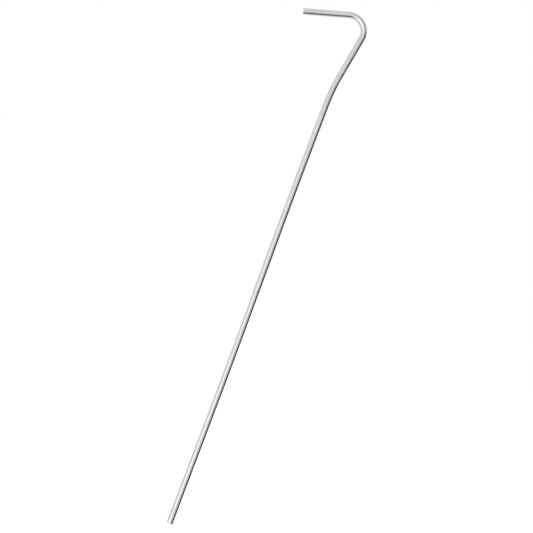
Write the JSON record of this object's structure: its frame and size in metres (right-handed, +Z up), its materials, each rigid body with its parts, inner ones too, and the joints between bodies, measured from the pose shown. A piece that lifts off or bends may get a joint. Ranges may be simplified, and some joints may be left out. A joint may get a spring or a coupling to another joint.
{
  "type": "tent stake",
  "caption": "Tent stake bent from one round steel wire: a long straight shank, a shallow bend, a short neck and a blunt hook that curls back over the shank.",
  "frame": {"origin": "on the shank's axis at the ground line, where the straight shank ends and the shallow bend starts", "axes": "+Z up along the straight shank, from its foot to the hook; the hook's arm points to -X and slopes down; +Y is square to the flat plane that the wire is bent in"},
  "size_m": [0.032, 0.003, 0.254],
  "materials": {
    "zinc_plated_steel": "gloss"
  },
  "bodies": {
    "root": {"peg_wire": "zinc_plated_steel"}
  },
  "joints": []
}
